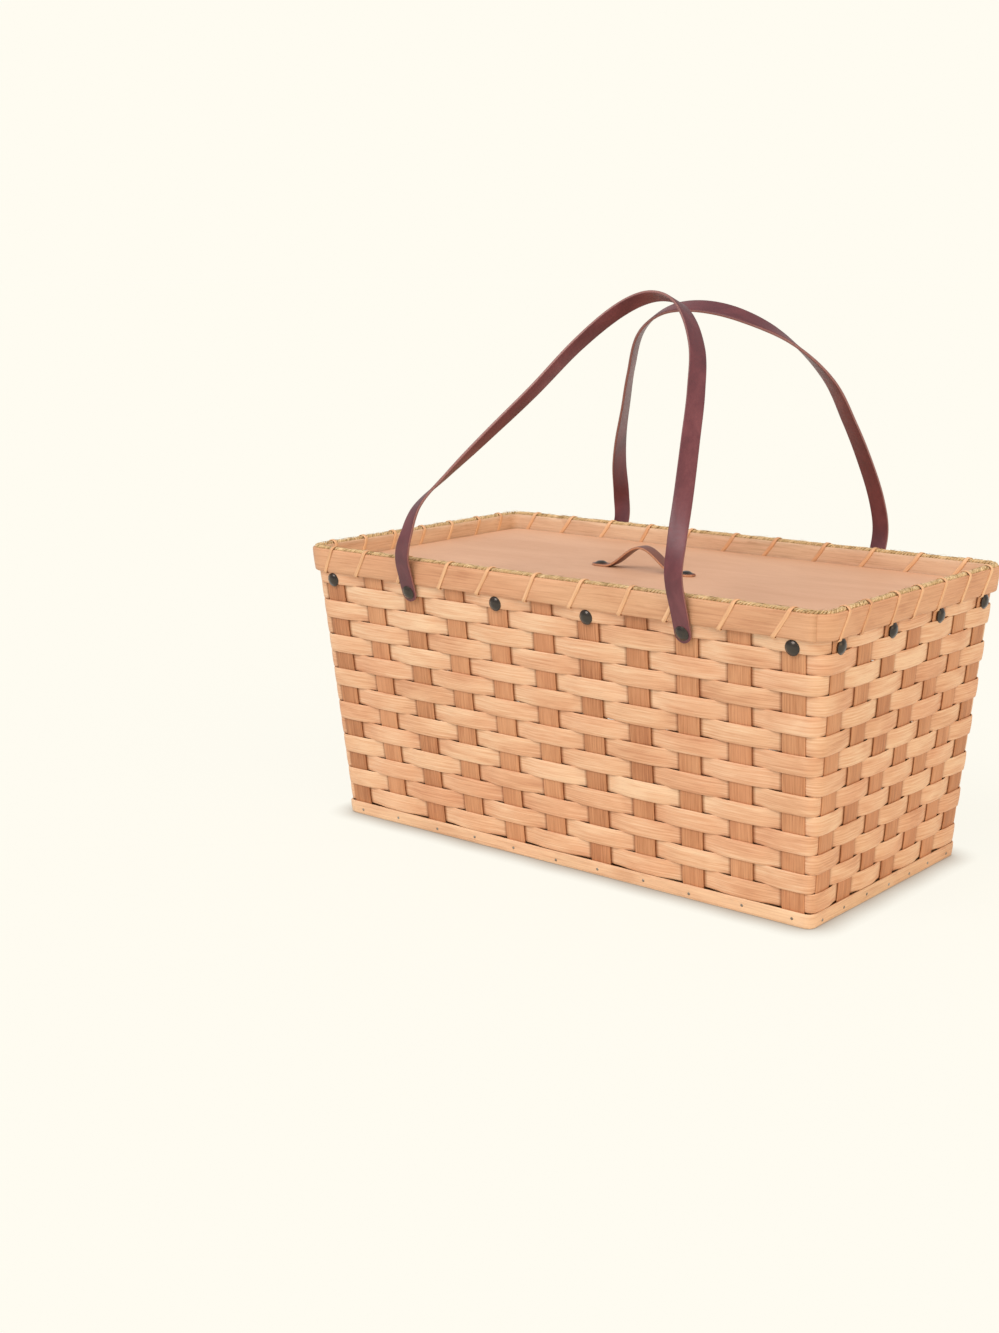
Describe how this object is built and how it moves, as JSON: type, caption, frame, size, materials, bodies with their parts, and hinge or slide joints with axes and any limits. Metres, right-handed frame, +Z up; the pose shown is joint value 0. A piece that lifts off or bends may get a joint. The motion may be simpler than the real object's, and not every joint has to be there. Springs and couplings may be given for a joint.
{
  "type": "picnic basket",
  "caption": "Woven splint picnic basket, rectangular and tapered, with riveted leather carrying straps and a lift-out board lid on an inner ledge.",
  "frame": {"origin": "middle of the underside of the base, on the surface that the basket stands on", "axes": "+X along the long side, +Y from the front wall to the back wall, +Z up"},
  "size_m": [0.5622, 0.3363, 0.4973],
  "materials": {
    "weaver_splint": "satin",
    "stake_splint": "satin",
    "hoop_wood": "satin",
    "base_wood": "matte",
    "lid_wood": "satin",
    "seagrass": "matte",
    "cane": "satin",
    "strap_leather": "satin",
    "pull_leather": "satin",
    "rivet_metal": "gloss",
    "washer_metal": "satin",
    "nail_metal": "satin"
  },
  "bodies": {
    "basket": {"weaver_row_01": "weaver_splint", "weaver_row_02": "weaver_splint", "weaver_row_03": "weaver_splint", "weaver_row_04": "weaver_splint", "weaver_row_05": "weaver_splint", "weaver_row_06": "weaver_splint", "weaver_row_07": "weaver_splint", "weaver_row_08": "weaver_splint", "weaver_row_09": "weaver_splint", "weaver_row_10": "weaver_splint", "weaver_row_11": "weaver_splint", "weaver_row_12": "weaver_splint", "weaver_row_13": "weaver_splint", "weaver_row_14": "weaver_splint", "weaver_under_rim": "weaver_splint", "front_stakes": "stake_splint", "right_stakes": "stake_splint", "back_stakes": "stake_splint", "left_stakes": "stake_splint", "outer_rim_hoop": "hoop_wood", "inner_rim_hoop": "hoop_wood", "base_band": "hoop_wood", "front_lid_ledge": "hoop_wood", "right_lid_ledge": "hoop_wood", "back_lid_ledge": "hoop_wood", "left_lid_ledge": "hoop_wood", "base_board": "base_wood", "rim_filler_rope": "seagrass", "rim_lashing": "cane", "front_handle_ends": "strap_leather", "back_handle_ends": "strap_leather", "front_wall_rivets": "rivet_metal", "right_wall_rivets": "rivet_metal", "back_wall_rivets": "rivet_metal", "left_wall_rivets": "rivet_metal", "front_handle_rivets": "rivet_metal", "back_handle_rivets": "rivet_metal", "rivet_washers": "washer_metal", "base_nails": "nail_metal"},
    "front_handle": {"front_handle_strap": "strap_leather"},
    "back_handle": {"back_handle_strap": "strap_leather"},
    "lid": {"lid_board": "lid_wood", "lid_pull_strap": "pull_leather", "lid_pull_rivets": "rivet_metal", "lid_pull_washers": "washer_metal"}
  },
  "joints": [
    {"name": "front_handle_swing", "type": "hinge", "parent": "basket", "child": "front_handle", "pos_m": [0, -0.15727, 0.24401], "axis": [1, 0, 0], "range_deg": [0, 150]},
    {"name": "back_handle_swing", "type": "hinge", "parent": "basket", "child": "back_handle", "pos_m": [0, 0.15727, 0.24401], "axis": [-1, 0, 0], "range_deg": [0, 150]},
    {"name": "lid_lift", "type": "slide", "parent": "basket", "child": "lid", "axis": [0, 0, 1], "range_m": [0, 0.06]}
  ]
}
